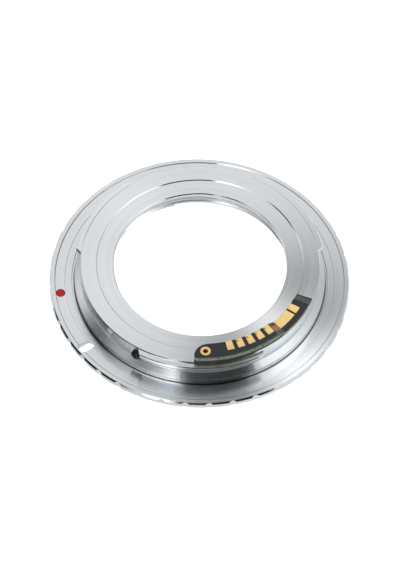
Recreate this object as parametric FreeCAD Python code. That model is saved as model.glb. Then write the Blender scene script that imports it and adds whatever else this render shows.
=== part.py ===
import FreeCAD, Part
import math
import os

# Lens mount adapter: a turned ring that carries a screw-thread lens on a bayonet camera.
# Lengths are in millimetres and angles in degrees, counter-clockwise seen from the camera.
# The origin is on the ring's axis in the plane that the lens seats on, and +Z points to the camera.

# Lens side: threaded bore with its lead-in and its inner lip
thread_major_d = 42.0
thread_pitch = 1.0
thread_lead_in = 0.75
counterbore_step = 1.5
counterbore_depth = 1.3
runout_depth = 0.3
lip_reach = 1.55
lip_thickness = 0.9
lip_bevel = 0.18

# Neck and its end face
neck_d = 53.9
neck_rise = 3.75
face_width = 3.59
face_step_drop = 0.16
face_step_slope = 0.14
edge_break = 0.08

# Collar that centres the ring in the camera, and the cone between it and the neck
collar_reach = 1.3
collar_rise = 1.28
cone_rise = 1.1

# Relief groove at the foot of the collar, and the sunk land outside it
groove_width = 0.6
groove_depth = 0.4
land_width = 1.6
land_drop = 0.1

# Camera seat, and the raised grip rim outside it
seat_height = 1.46
seat_width = 2.15
rim_width = 1.33
rim_rise = 0.15
rim_bevel_width = 0.43
rim_bevel_height = 0.45
base_bevel = 0.2

# Scallops that make the rim grip
scallop_count = 40
scallop_depth = 0.36
scallop_width = 1.75
scallop_first_angle = 5.3

# Bayonet tabs: where each starts and ends at the neck
tab_reach = 1.25
tab_thickness = 1.03
tab_drop = 0.3
tab_bevel = 0.12
tab_end_slant = 2.2
tab_spans = ((10.5, 67.0), (126.0, 175.9), (241.2, 303.5))

# Hole for the camera's lock pin
pin_slot_angle = 218.1
pin_slot_width = 2.3
pin_slot_length = 3.9
pin_slot_wall = 0.55

# Mount index dot, an enamel fill in a shallow pocket beside the rim
dot_angle = 189.6
dot_inset = 1.0
dot_d = 2.15
dot_depth = 0.35
dot_sink = 0.02

# Stop screw beside the third tab
screw_angle = 240.5
screw_drop = 2.09
screw_head_d = 2.1
screw_head_sink = 0.4
screw_head_inset = 0.4
screw_shank_d = 1.2
screw_end_wall = 2.25
screw_tip_gap = 0.3
screw_clearance = 0.05
screw_slot_width = 0.35
screw_slot_depth = 0.45
screw_slot_turn = 20.0

# Contact board: two stacked layers, both cut to one arc
board_start_angle = 268.7
board_width = 3.85
board_inset = 0.1
board_nose_radius = 3.0
board_shoulder_radius = 0.75
board_tail_radius = 0.35
base_board_thickness = 0.7
upper_board_thickness = 0.85
film_thickness = 0.1
film_margin = 0.25
bond_thickness = 0.1
edge_sand_width = 0.12
edge_sand_height = 0.3

# Plated eyelet at the rounded end
eyelet_offset = 5.65
eyelet_inset = 1.95
eyelet_pad_d = 2.3
eyelet_hole_d = 1.1
eyelet_wall = 0.12

# Contact pads, each starting at the board's inner edge; gaps and spans are angles
pad_thickness = 0.05
pad_length = 2.35
data_pad_count = 5
data_pad_offset = 18.7
data_pad_pitch = 5.71
data_pad_width = 1.52
step_gap = 0.46
long_pad_gap = 0.2
long_pad_span = 10.95
short_pad_gap = 1.2
short_pad_span = 4.0

# Ramps that the camera's contact pins ride up
step_ramp_span = 3.9
step_ramp_toe = 0.04
step_copper_inset = 0.85
step_copper_width = 2.1
tail_gap = 3.8
tail_ramp_span = 4.56
tail_ramp_toe = 0.12

# Circuit under the upper layer, in windows of the lower one
chip_offset = 12.5
chip_inset = 2.2
chip_length = 2.9
chip_width = 1.5
chip_height = 0.62
capacitor_offset = 21.5
resistor_offset = 27.3
passive_inset = 2.3
passive_length = 1.0
passive_width = 0.5
passive_height = 0.4
window_clearance = 0.15

# Radii worked out from the bore outwards
thread_r = thread_major_d / 2.0
lip_r = thread_r - lip_reach
counterbore_r = thread_r + counterbore_step
neck_r = neck_d / 2.0
face_step_r = neck_r - face_width
collar_r = neck_r + collar_reach
tab_r = neck_r + tab_reach
groove_outer_r = collar_r + groove_width
seat_inner_r = groove_outer_r + land_width
seat_outer_r = seat_inner_r + seat_width
rim_r = seat_outer_r + rim_width
dot_r = seat_outer_r - dot_inset
pin_slot_r = groove_outer_r + pin_slot_wall + pin_slot_length / 2.0
screw_head_seat_r = neck_r - screw_head_sink
screw_head_top_r = tab_r - screw_head_inset
screw_tip_r = thread_r + screw_end_wall + screw_tip_gap
board_outer_r = neck_r - board_inset
board_inner_r = board_outer_r - board_width
board_middle_r = board_inner_r + board_width / 2.0
pad_outer_r = board_inner_r + pad_length
pad_middle_r = board_inner_r + pad_length / 2.0
eyelet_r = board_inner_r + eyelet_inset
chip_r = board_inner_r + chip_inset
passive_r = board_inner_r + passive_inset
step_copper_r = board_inner_r + step_copper_inset + step_copper_width / 2.0

# Heights worked out from the lens seat upwards
rim_height = seat_height + rim_rise
land_height = seat_height - land_drop
groove_floor = seat_height - groove_depth
collar_height = seat_height + collar_rise
cone_height = collar_height + cone_rise
ring_height = cone_height + neck_rise
inner_face_height = ring_height - face_step_drop
lip_floor = inner_face_height - lip_thickness
tab_top = ring_height - tab_drop
screw_height = tab_top - screw_drop
board_floor = ring_height + film_thickness
base_board_top = board_floor + base_board_thickness
upper_board_floor = base_board_top + bond_thickness
upper_board_top = upper_board_floor + upper_board_thickness

# Angles worked out along the board from its rounded end
eyelet_angle = board_start_angle + eyelet_offset
chip_angle = board_start_angle + chip_offset
capacitor_angle = board_start_angle + capacitor_offset
resistor_angle = board_start_angle + resistor_offset
data_pad_first_angle = board_start_angle + data_pad_offset
data_pad_half_span = math.degrees(data_pad_width / 2.0 / pad_middle_r)
data_pads_end = data_pad_first_angle + (data_pad_count - 1) * data_pad_pitch + data_pad_half_span
step_ramp_top_angle = data_pads_end + step_gap
step_ramp_foot_angle = step_ramp_top_angle + step_ramp_span
long_pad_start = step_ramp_foot_angle + long_pad_gap
long_pad_end = long_pad_start + long_pad_span
short_pad_start = long_pad_end + short_pad_gap
short_pad_end = short_pad_start + short_pad_span
tail_ramp_top_angle = short_pad_end + tail_gap
board_end_angle = tail_ramp_top_angle + tail_ramp_span

# Reach of a cutting tool past the face that it cuts
over = 1.0


def at(radius, angle, z=0.0):
    """The point at a radius and an angle round the ring's axis."""
    turn = math.radians(angle)
    return FreeCAD.Vector(radius * math.cos(turn), radius * math.sin(turn), z)


def outward(angle):
    """The unit vector that points away from the axis at an angle."""
    return at(1.0, angle)


def along(angle):
    """The unit vector that points round the ring, the way angles grow."""
    return at(1.0, angle + 90.0)


def arc_edge(radius, start, end, z):
    """The arc of a circle about the axis from one angle to another."""
    middle = at(radius, (start + end) / 2.0, z)
    return Part.Arc(at(radius, start, z), middle, at(radius, end, z)).toShape()


def line_edge(first, second):
    return Part.LineSegment(first, second).toShape()


def turned(points):
    """The solid that a closed outline of (radius, height) points sweeps round the axis."""
    corners = [FreeCAD.Vector(radius, 0.0, z) for radius, z in points]
    outline = Part.makePolygon(corners + corners[:1])
    origin = FreeCAD.Vector(0, 0, 0)
    return Part.Face(outline).revolve(origin, FreeCAD.Vector(0, 0, 1), 360)


def sector(inner_r, outer_r, start, end, floor, height):
    """A flat piece between two radii and two angles."""
    outline = Part.Wire([
        arc_edge(inner_r, start, end, floor),
        line_edge(at(inner_r, end, floor), at(outer_r, end, floor)),
        arc_edge(outer_r, end, start, floor),
        line_edge(at(outer_r, start, floor), at(inner_r, start, floor)),
    ])
    return Part.Face(outline).extrude(FreeCAD.Vector(0, 0, height))


def block(centre, angle, radial, tangential, height):
    """A block square to the radius at an angle, standing on its centre point."""
    body = Part.makeBox(radial, tangential, height, FreeCAD.Vector(-radial / 2.0, -tangential / 2.0, 0))
    body.rotate(FreeCAD.Vector(0, 0, 0), FreeCAD.Vector(0, 0, 1), angle)
    body.translate(centre)
    return body


def rod(diameter, start, axis, length):
    return Part.makeCylinder(diameter / 2.0, length, start, axis)


def vertical_edges_near(solid, point):
    """The upright edges of a solid that pass through one point of its plan."""
    found = []
    for edge in solid.Edges:
        ends = [vertex.Point for vertex in edge.Vertexes]
        if len(ends) == 2 and all(math.hypot(p.x - point.x, p.y - point.y) < 1e-6 for p in ends):
            found.append(edge)
    return found


# Ring

def ring_profile():
    """Half section of the turned ring, from the lens seat up round to the thread."""
    return [
        (counterbore_r, 0.0),
        (rim_r - base_bevel, 0.0),
        (rim_r, base_bevel),
        (rim_r, rim_height - rim_bevel_height),
        (rim_r - rim_bevel_width, rim_height),
        (seat_outer_r + edge_break, rim_height),
        (seat_outer_r, seat_height),
        (seat_inner_r, seat_height),
        (seat_inner_r - edge_break, land_height),
        (groove_outer_r + edge_break, land_height),
        (groove_outer_r, land_height - edge_break),
        (groove_outer_r, groove_floor),
        (collar_r, groove_floor),
        (collar_r, collar_height - edge_break),
        (collar_r - edge_break, collar_height),
        (neck_r, cone_height),
        (neck_r, ring_height - edge_break),
        (neck_r - edge_break, ring_height),
        (face_step_r, ring_height),
        (face_step_r - face_step_slope, inner_face_height),
        (lip_r + lip_bevel, inner_face_height),
        (lip_r, inner_face_height - lip_bevel),
        (lip_r, lip_floor),
        (thread_r + runout_depth, lip_floor),
        (thread_r + runout_depth, lip_floor - thread_pitch + runout_depth),
        (thread_r, lip_floor - thread_pitch),
        (thread_r, counterbore_depth + thread_lead_in),
        (thread_r + thread_lead_in, counterbore_depth),
        (counterbore_r, counterbore_depth),
    ]


def bayonet_tab(start, end):
    """One tab: a bevelled band round the neck, cut to its span with slanted ends."""
    root_r = neck_r - over
    floor = tab_top - tab_thickness
    band = turned([
        (root_r, floor),
        (tab_r - tab_bevel, floor),
        (tab_r, floor + tab_bevel),
        (tab_r, tab_top - tab_bevel),
        (tab_r - tab_bevel, tab_top),
        (root_r, tab_top),
    ])
    reach_r = tab_r + over
    slant = tab_end_slant * (reach_r - neck_r) / (tab_r - neck_r)
    outline = Part.Wire([
        arc_edge(root_r, start, end, floor - over),
        line_edge(at(root_r, end, floor - over), at(neck_r, end, floor - over)),
        line_edge(at(neck_r, end, floor - over), at(reach_r, end - slant, floor - over)),
        arc_edge(reach_r, end - slant, start + slant, floor - over),
        line_edge(at(reach_r, start + slant, floor - over), at(neck_r, start, floor - over)),
        line_edge(at(neck_r, start, floor - over), at(root_r, start, floor - over)),
    ])
    span = Part.Face(outline).extrude(FreeCAD.Vector(0, 0, tab_thickness + 2.0 * over))
    return band.common(span)


def scallop_cutters():
    """Round cutters that each leave one shallow hollow in the rim."""
    half_width = scallop_width / 2.0
    cutter_r = (half_width ** 2 + scallop_depth ** 2) / (2.0 * scallop_depth)
    centre_r = rim_r - scallop_depth + cutter_r
    cutters = []
    for index in range(scallop_count):
        angle = scallop_first_angle + index * 360.0 / scallop_count
        foot = at(centre_r, angle, -over)
        cutters.append(Part.makeCylinder(cutter_r, rim_height + 2.0 * over, foot))
    return cutters


def pin_slot_cutter():
    """The rounded slot that lets the camera's lock pin into the flange."""
    straight = pin_slot_length - pin_slot_width
    depth = rim_height + 2.0 * over
    body = block(at(pin_slot_r, pin_slot_angle, -over), pin_slot_angle, straight, pin_slot_width, depth)
    up = FreeCAD.Vector(0, 0, 1)
    for end_r in (pin_slot_r - straight / 2.0, pin_slot_r + straight / 2.0):
        body = body.fuse(rod(pin_slot_width, at(end_r, pin_slot_angle, -over), up, depth))
    return body


def screw_hole():
    """The flat seat under the stop screw's head, and the blind hole for its shank."""
    inward = outward(screw_angle).multiply(-1.0)
    mouth_r = tab_r + over
    mouth = at(mouth_r, screw_angle, screw_height)
    pocket = rod(screw_head_d + 2.0 * screw_clearance, mouth, inward, mouth_r - screw_head_seat_r)
    shank = rod(screw_shank_d, mouth, inward, mouth_r - screw_tip_r + screw_tip_gap)
    return pocket.fuse(shank)


def dot_body(top):
    """The round fill of the index dot, from its pocket's floor up to a height."""
    floor = seat_height - dot_depth
    return rod(dot_d, at(dot_r, dot_angle, floor), FreeCAD.Vector(0, 0, 1), top - floor)


def adapter_ring():
    ring = turned(ring_profile())
    ring = ring.fuse([bayonet_tab(start, end) for start, end in tab_spans])
    cutters = scallop_cutters() + [pin_slot_cutter(), screw_hole(), dot_body(rim_height + over)]
    return ring.cut(cutters)


def index_dot():
    return dot_body(seat_height - dot_sink)


def stop_screw():
    """Slotted cheese-head screw, its axis along the radius."""
    away = outward(screw_angle)
    head_height = screw_head_top_r - screw_head_seat_r
    head = rod(screw_head_d, at(screw_head_seat_r, screw_angle, screw_height), away, head_height)
    rim_edges = [edge for edge in head.Edges if abs(edge.CenterOfMass.dot(away) - screw_head_top_r) < 1e-6]
    head = head.makeChamfer(edge_break, rim_edges)
    shank_foot = at(screw_tip_r, screw_angle, screw_height)
    shank = rod(screw_shank_d, shank_foot, away, screw_head_seat_r - screw_tip_r)
    slot_centre = at(screw_head_top_r, screw_angle, screw_height - screw_head_d)
    slot = block(slot_centre, screw_angle, 2.0 * screw_slot_depth, screw_slot_width, 2.0 * screw_head_d)
    slot.rotate(at(screw_head_top_r, screw_angle, screw_height), away, screw_slot_turn)
    return head.fuse(shank).removeSplitter().cut(slot)


# Contact board

def board_plan(inset, floor, height):
    """The arc-shaped plan of the board, with its corners rounded, as a flat solid."""
    inner_r = board_inner_r + inset
    outer_r = board_outer_r - inset
    trim = math.degrees(inset / board_middle_r)
    start = board_start_angle + trim
    end = board_end_angle - trim
    body = sector(inner_r, outer_r, start, end, floor, height)
    corners = (
        (inner_r, start, board_nose_radius - inset),
        (outer_r, start, board_shoulder_radius - inset),
        (inner_r, end, board_tail_radius - inset / 2.0),
        (outer_r, end, board_tail_radius - inset / 2.0),
    )
    for radius, angle, rounding in corners:
        body = body.makeFillet(rounding, vertical_edges_near(body, at(radius, angle)))
    return body


def ramp_cutter(top_angle, foot_angle, top, foot_height):
    """The space above a ramp that falls from one angle to another, up past the board's top."""
    middle = (top_angle + foot_angle) / 2.0
    half_run = pad_outer_r * math.radians(foot_angle - top_angle) / 2.0
    fall = top - foot_height
    extra = over * fall / (2.0 * half_run)
    points = [
        (-half_run, top),
        (half_run + over, foot_height - extra),
        (half_run + 4.0 * over, foot_height - extra),
        (half_run + 4.0 * over, top + over),
        (-half_run, top + over),
    ]
    base = at(board_inner_r - over, middle)
    side = along(middle)
    corners = [base + FreeCAD.Vector(side).multiply(shift) + FreeCAD.Vector(0, 0, z) for shift, z in points]
    outline = Part.makePolygon(corners + corners[:1])
    reach = board_outer_r - board_inner_r + 3.0 * over
    return Part.Face(outline).extrude(outward(middle).multiply(reach))


def eyelet_hole(diameter, floor, top):
    up = FreeCAD.Vector(0, 0, 1)
    return rod(diameter, at(eyelet_r, eyelet_angle, floor), up, top - floor)


def passive(angle):
    """A small ceramic part soldered under the upper layer."""
    foot = at(passive_r, angle, upper_board_floor - passive_height)
    return block(foot, angle, passive_length, passive_width, passive_height)


def controller_chip():
    foot = at(chip_r, chip_angle, upper_board_floor - chip_height)
    body = block(foot, chip_angle, chip_width, chip_length, chip_height)
    lower_edges = [edge for edge in body.Edges if abs(edge.CenterOfMass.z - foot.z) < 1e-6]
    return body.makeChamfer(edge_break, lower_edges)


def window(angle, radius, radial, tangential):
    """The opening in the lower layer and its bond film round one component."""
    room = 2.0 * window_clearance
    foot = at(radius, angle, board_floor - over)
    height = upper_board_floor - board_floor + 2.0 * over
    return block(foot, angle, radial + room, tangential + room, height)


def windows():
    return [
        window(chip_angle, chip_r, chip_width, chip_length),
        window(capacitor_angle, passive_r, passive_length, passive_width),
        window(resistor_angle, passive_r, passive_length, passive_width),
    ]


def adhesive_film():
    film = board_plan(film_margin, ring_height, film_thickness)
    inner_face = rod(2.0 * (face_step_r + film_margin), FreeCAD.Vector(0, 0, ring_height - over),
                     FreeCAD.Vector(0, 0, 1), 3.0 * over)
    return film.cut([inner_face])


def base_board():
    body = board_plan(0.0, board_floor, base_board_thickness)
    tail = ramp_cutter(tail_ramp_top_angle, board_end_angle, base_board_top, board_floor + tail_ramp_toe)
    barrel = eyelet_hole(eyelet_hole_d + 2.0 * eyelet_wall, board_floor - over, base_board_top + over)
    return body.cut(windows() + [tail, barrel])


def bond_film():
    body = board_plan(0.0, base_board_top, bond_thickness)
    barrel = eyelet_hole(eyelet_hole_d + 2.0 * eyelet_wall, base_board_top - over, upper_board_floor + over)
    return body.cut(windows() + [past_step(), barrel])


def past_step():
    """Everything round the ring from the foot of the step ramp onwards."""
    span = board_end_angle - step_ramp_foot_angle + math.degrees(over / board_inner_r)
    return sector(board_inner_r - over, board_outer_r + over, step_ramp_foot_angle,
                  step_ramp_foot_angle + span, board_floor - over, upper_board_top - board_floor + 3.0 * over)


def sanded_edges(body, top):
    """The top edges of the board that are sanded, which is all but the inner arc."""
    found = []
    for edge in body.Edges:
        level = all(abs(vertex.Z - top) < 1e-6 for vertex in edge.Vertexes)
        inner = all(abs(math.hypot(vertex.X, vertex.Y) - board_inner_r) < 1e-6 for vertex in edge.Vertexes)
        if level and not inner:
            found.append(edge)
    return found


def upper_board():
    """The upper layer, with its outer edge and nose sanded to a bevel."""
    body = board_plan(0.0, upper_board_floor, upper_board_thickness)
    body = body.makeChamfer(edge_sand_width, edge_sand_height, sanded_edges(body, upper_board_top))
    ramp = ramp_cutter(step_ramp_top_angle, step_ramp_foot_angle, upper_board_top,
                       upper_board_floor + step_ramp_toe)
    barrel = eyelet_hole(eyelet_hole_d + 2.0 * eyelet_wall, upper_board_floor - over, upper_board_top + over)
    return body.cut([past_step(), ramp, barrel])


def pad(start, end, level):
    """A gold contact from the board's inner edge outwards, lying on a level of the board."""
    return sector(board_inner_r, pad_outer_r, start, end, level, pad_thickness)


def data_pad(index):
    angle = data_pad_first_angle + index * data_pad_pitch
    return pad(angle - data_pad_half_span, angle + data_pad_half_span, upper_board_top)


def step_copper():
    """Copper bared on the ramp between the two levels."""
    middle = (step_ramp_top_angle + step_ramp_foot_angle) / 2.0
    run = pad_outer_r * math.radians(step_ramp_foot_angle - step_ramp_top_angle)
    fall = upper_board_top - (upper_board_floor + step_ramp_toe)
    slope = math.degrees(math.atan2(fall, run))
    length = math.hypot(fall, run)
    height = (upper_board_top + upper_board_floor + step_ramp_toe) / 2.0
    corner = FreeCAD.Vector(-step_copper_width / 2.0, -length / 2.0, 0)
    body = Part.makeBox(step_copper_width, length, pad_thickness, corner)
    origin = FreeCAD.Vector(0, 0, 0)
    body.rotate(origin, FreeCAD.Vector(1, 0, 0), -slope)
    body.rotate(origin, FreeCAD.Vector(0, 0, 1), middle)
    body.translate(at(step_copper_r, middle, height))
    return body


def board_eyelet():
    """Plated hole through both layers, with its ring-shaped pad on top."""
    barrel = eyelet_hole(eyelet_hole_d + 2.0 * eyelet_wall, board_floor, upper_board_top)
    pad = eyelet_hole(eyelet_pad_d, upper_board_top, upper_board_top + pad_thickness)
    hole = eyelet_hole(eyelet_hole_d, board_floor - over, upper_board_top + over)
    return barrel.fuse(pad).cut(hole)


def nodes():
    """Every sub-part by name, in the order that they are put together."""
    parts = {
        "adapter_ring": adapter_ring(),
        "index_dot": index_dot(),
        "stop_screw": stop_screw(),
        "adhesive_film": adhesive_film(),
        "base_board": base_board(),
        "bond_film": bond_film(),
        "upper_board": upper_board(),
        "board_eyelet": board_eyelet(),
        "step_copper": step_copper(),
        "controller_chip": controller_chip(),
        "decoupling_capacitor": passive(capacitor_angle),
        "series_resistor": passive(resistor_angle),
        "long_power_pad": pad(long_pad_start, long_pad_end, base_board_top),
        "short_power_pad": pad(short_pad_start, short_pad_end, base_board_top),
    }
    for index in range(data_pad_count):
        parts["data_pad_%d" % (index + 1)] = data_pad(index)
    return parts


os.makedirs("parts", exist_ok=True)
for name, shape in nodes().items():
    shape.exportStep(os.path.join("parts", name + ".step"))
    print(name, len(shape.Solids), round(shape.Volume, 3), shape.isValid())
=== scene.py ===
import math

import bmesh
import bpy
from mathutils import Matrix, Vector, noise

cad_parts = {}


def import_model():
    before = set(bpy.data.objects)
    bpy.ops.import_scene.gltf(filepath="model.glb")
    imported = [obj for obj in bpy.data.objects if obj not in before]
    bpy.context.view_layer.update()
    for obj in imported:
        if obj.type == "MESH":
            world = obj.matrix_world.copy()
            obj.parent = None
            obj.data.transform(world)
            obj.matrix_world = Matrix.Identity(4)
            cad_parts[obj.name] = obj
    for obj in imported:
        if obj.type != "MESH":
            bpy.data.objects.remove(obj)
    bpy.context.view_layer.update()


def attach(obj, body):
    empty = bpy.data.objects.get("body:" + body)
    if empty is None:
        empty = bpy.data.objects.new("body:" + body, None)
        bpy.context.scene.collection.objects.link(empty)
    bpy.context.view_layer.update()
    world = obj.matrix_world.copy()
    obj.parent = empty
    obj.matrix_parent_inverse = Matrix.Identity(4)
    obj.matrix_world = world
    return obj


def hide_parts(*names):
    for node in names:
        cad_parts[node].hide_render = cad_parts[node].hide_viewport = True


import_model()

# Lens mount adapter, dressed over its CAD frame. Lengths in this file are millimetres until a mesh
# is made, angles are degrees counter-clockwise from +X seen from the camera side.

MM = 0.001

# Sizes as in the part's source. The rim's bevel, the scallops' depth, the tabs' bevels and the screw's
# head differ from it by up to 0.2 mm, to catch the light as they do in the photograph.
THREAD_R = 21.0
LIP_R = 19.45
LIP_BEVEL = 0.18
COUNTERBORE_R = 22.5
COUNTERBORE_DEPTH = 1.3
LEAD_IN = 0.75
RUNOUT_R = 21.3
RUNOUT_FLOOR = 5.83
THREAD_END = 5.53
THREAD_DEPTH = 0.54
THREAD_SPAN = (2.2, 5.45)
LIP_FLOOR = 6.53
NECK_R = 26.95
FACE_STEP_R = 23.36
COLLAR_R = 28.25
GROOVE_OUTER_R = 28.85
SEAT_INNER_R = 30.45
SEAT_OUTER_R = 32.60
RIM_R = 33.93
BASE_BEVEL = 0.2
RIM_BEVEL_WIDTH = 0.34
RIM_BEVEL_HEIGHT = 0.40
SEAT_HEIGHT = 1.46
RIM_HEIGHT = 1.61
LAND_HEIGHT = 1.36
GROOVE_FLOOR = 1.06
COLLAR_HEIGHT = 2.74
CONE_HEIGHT = 3.84
RING_HEIGHT = 7.59
INNER_FACE_HEIGHT = 7.43
TAB_R = 28.20
TAB_TOP = 7.29
TAB_FLOOR = 6.26
TAB_BEVEL = 0.16
NECK_BEVEL = 0.17
TAB_SLANT = 2.2
TAB_SPANS = ((10.5, 67.0), (126.0, 175.9), (241.2, 303.5))
SCALLOP_COUNT = 40
SCALLOP_DEPTH = 0.31
SCALLOP_WIDTH = 1.75
SCALLOP_FIRST = 5.3
SCALLOP_PITCH = 360.0 / SCALLOP_COUNT
SCALLOP_HALF = SCALLOP_WIDTH / 2.0
SCALLOP_CUTTER_R = (SCALLOP_HALF * SCALLOP_HALF + SCALLOP_DEPTH * SCALLOP_DEPTH) / (2.0 * SCALLOP_DEPTH)
SCALLOP_CENTRE_R = RIM_R - SCALLOP_DEPTH + SCALLOP_CUTTER_R
SLOT_ANGLE = 218.1
SLOT_R = 31.35
SLOT_WIDTH = 2.3
SLOT_LENGTH = 3.9
DOT_ANGLE = 189.6
DOT_R = 31.60
DOT_D = 2.15
DOT_DEPTH = 0.35
SCREW_ANGLE = 240.5
SCREW_HEIGHT = 5.20
SCREW_HEAD_D = 2.3
SCREW_SEAT_R = 26.55
SCREW_TOP_R = 27.80
SCREW_TIP_R = 23.55
SCREW_SHANK_D = 1.2
SCREW_SLOT_WIDTH = 0.35
SCREW_SLOT_DEPTH = 0.45
SCREW_SLOT_TURN = 20.0
BOARD_START = 268.7
BOARD_END = 341.1
BOARD_INNER_R = 23.00
BOARD_OUTER_R = 26.85
BOARD_FLOOR = 7.69
BASE_TOP = 8.39
UPPER_FLOOR = 8.49
UPPER_TOP = 9.34
NOSE_RADIUS = 3.0
SHOULDER_RADIUS = 0.75
TAIL_RADIUS = 0.35
STEP_TOP_ANGLE = 312.501
STEP_FOOT_ANGLE = 316.401
TAIL_TOP_ANGLE = 336.55
PAD_OUTER_R = 25.35
PAD_THICKNESS = 0.05
DATA_PAD_FIRST = 287.4
DATA_PAD_PITCH = 5.71
DATA_PAD_HALF = 1.801
LONG_PAD = (316.60, 327.55)
SHORT_PAD = (328.75, 332.75)
EYELET_ANGLE = 274.35
EYELET_R = 24.95
EYELET_PAD_D = 2.30
EYELET_HOLE_D = 1.1
EYELET_WALL = 0.12
NOSE_END = 275.4
SANDED_WIDTH = 0.12
SANDED_WIDENING = 0.28
SANDED_DEPTH = 0.3
VIA_ANGLES = (291.85, 297.65, 303.2, 308.9)
VIA_R = 23.4
VIA_RADIUS = 0.16
COPPER_RADII = (23.85, 25.95)

# Windows of the lower layer: name, angle, radius, length along the radius and length across it
WINDOWS = (
    ("chip", 281.2, 25.2, 1.5, 2.9),
    ("capacitor", 290.2, 25.3, 1.0, 0.5),
    ("resistor", 296.0, 25.3, 1.0, 0.5),
)
WINDOW_GAP = 0.3
BOARD_MIDDLE = 300.0
BOARD_MEAN_R = 25.0
TAIL_START = BOARD_END - 0.9
EDGE_BREAK = 0.05
STEP_END_BLEND = math.radians(2.0)

# Slopes of the fine steps, from the foot to the top of each
RIM_STEP = (SEAT_OUTER_R - 0.04, SEAT_OUTER_R + 0.14)
SEAT_STEP = (SEAT_INNER_R - 0.07, SEAT_INNER_R)
FACE_STEP = (FACE_STEP_R - 0.17, FACE_STEP_R + 0.02)

# Camera that was fitted to the photograph, aimed at a point of the seat's plane
CAMERA_ELEVATION = 55.010981
CAMERA_ROLL = 2.172884
CAMERA_DISTANCE = 931.748136
CAMERA_RIGHT = 0.0759
CAMERA_DOWN = 1.343867
FOCAL_PIXELS = 4128.182652
PHOTO_PIXELS = 570.0
SENSOR_SIZE = 36.0

# Meshing
UP = Vector((0.0, 0.0, 1.0))
MERGE_DISTANCE = 1e-5
SHARP_ANGLE = 34.0
SAME_PLANE = 0.9998
RULING_SHARE = 3.0
SLOT_SEGMENTS = 48


def polar(radius, angle, z=0.0):
    turn = math.radians(angle)
    return Vector((radius * math.cos(turn), radius * math.sin(turn), z))


def new_object(name, bm):
    """Turn a bmesh in millimetres into a mesh object in metres."""
    bmesh.ops.scale(bm, vec=(MM, MM, MM), verts=bm.verts)
    bmesh.ops.recalc_face_normals(bm, faces=bm.faces)
    mesh = bpy.data.meshes.new(name)
    bm.to_mesh(mesh)
    bm.free()
    obj = bpy.data.objects.new(name, mesh)
    bpy.context.scene.collection.objects.link(obj)
    return obj


def add_piece(name, bm, node):
    """A piece of the object, which rides on the root body and may replace a node of the frame."""
    obj = new_object(name, bm)
    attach(obj, "root")
    if node:
        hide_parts(node)
    return obj


def shade(obj, weighted=True):
    """Smooth shading that breaks at sharp edges, with corner normals held by the largest face."""
    mesh = obj.data
    bm = bmesh.new()
    bm.from_mesh(mesh)
    limit = math.radians(SHARP_ANGLE)
    for face in bm.faces:
        face.smooth = True
    for edge in bm.edges:
        edge.smooth = len(edge.link_faces) == 2 and edge.calc_face_angle(0.0) < limit
    corner_normals = []
    if weighted:
        bm.faces.ensure_lookup_table()
        areas = [face.calc_area() for face in bm.faces]
        for face in bm.faces:
            for loop in face.loops:
                corner_normals.append(held_normal(loop, areas))
    bm.to_mesh(mesh)
    bm.free()
    if weighted:
        mesh.normals_split_custom_set(corner_normals)


def held_normal(loop, areas):
    """Normal of a corner: that of the face which rules the smooth faces round it, or their mean."""
    vert = loop.vert
    fan = {loop.face.index: loop.face}
    waiting = [loop.face]
    while waiting:
        face = waiting.pop()
        for edge in face.edges:
            if edge.smooth and vert in edge.verts:
                for other in edge.link_faces:
                    if other.index not in fan:
                        fan[other.index] = other
                        waiting.append(other)
    faces = list(fan.values())
    largest = max(faces, key=lambda face: areas[face.index])
    ruling = 0.0
    rest = 0.0
    mean = Vector((0.0, 0.0, 0.0))
    for face in faces:
        area = areas[face.index]
        mean += face.normal * area
        if face.normal.dot(largest.normal) > SAME_PLANE:
            ruling += area
        else:
            rest += area
    if ruling > RULING_SHARE * rest:
        return largest.normal.copy()
    return mean.normalized()


def bridge(bm, here, there):
    """Faces between two closed loops of vertices."""
    size = len(here)
    for j in range(size):
        k = (j + 1) % size
        bm.faces.new((here[j], here[k], there[k], there[j]))


def swept(sections, closed):
    """Skin a list of sections, each a list of points, round the axis or capped at both ends."""
    bm = bmesh.new()
    rings = [[bm.verts.new(point) for point in section] for section in sections]
    for here, there in zip(rings, rings[1:]):
        bridge(bm, here, there)
    if closed:
        bridge(bm, rings[-1], rings[0])
    else:
        bm.faces.new(rings[0])
        bm.faces.new(rings[-1])
    bmesh.ops.remove_doubles(bm, verts=bm.verts, dist=MERGE_DISTANCE)
    bmesh.ops.dissolve_degenerate(bm, edges=bm.edges, dist=MERGE_DISTANCE)
    return bm


def rounded(corners, steps=3):
    """Round the corners of a closed (r, z, radius) outline, each to the same number of points."""
    points = []
    total = len(corners)
    for index, (r, z, radius) in enumerate(corners):
        here = Vector((r, z))
        before = Vector(corners[index - 1][:2]) - here
        after = Vector(corners[(index + 1) % total][:2]) - here
        if radius <= 0.0:
            points.append((r, z))
            continue
        if min(before.length, after.length) < 1e-6:
            points.extend([(r, z)] * (steps + 1))
            continue
        first = before.normalized()
        second = after.normalized()
        half = math.acos(max(-1.0, min(1.0, first.dot(second)))) / 2.0
        if half > math.radians(89.0):
            points.extend([(r, z)] * (steps + 1))
            continue
        setback = radius / math.tan(half)
        setback = min(setback, 0.45 * before.length, 0.45 * after.length)
        radius = setback * math.tan(half)
        bisector = (first + second).normalized()
        centre = here + bisector * (radius / math.sin(half))
        start = here + first * setback - centre
        end = here + second * setback - centre
        sweep = start.angle_signed(end)
        for step in range(steps + 1):
            turn = -sweep * step / steps
            c = math.cos(turn)
            s = math.sin(turn)
            points.append((centre.x + start.x * c - start.y * s, centre.y + start.x * s + start.y * c))
    return points


# Camera at the photograph's angle

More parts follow.
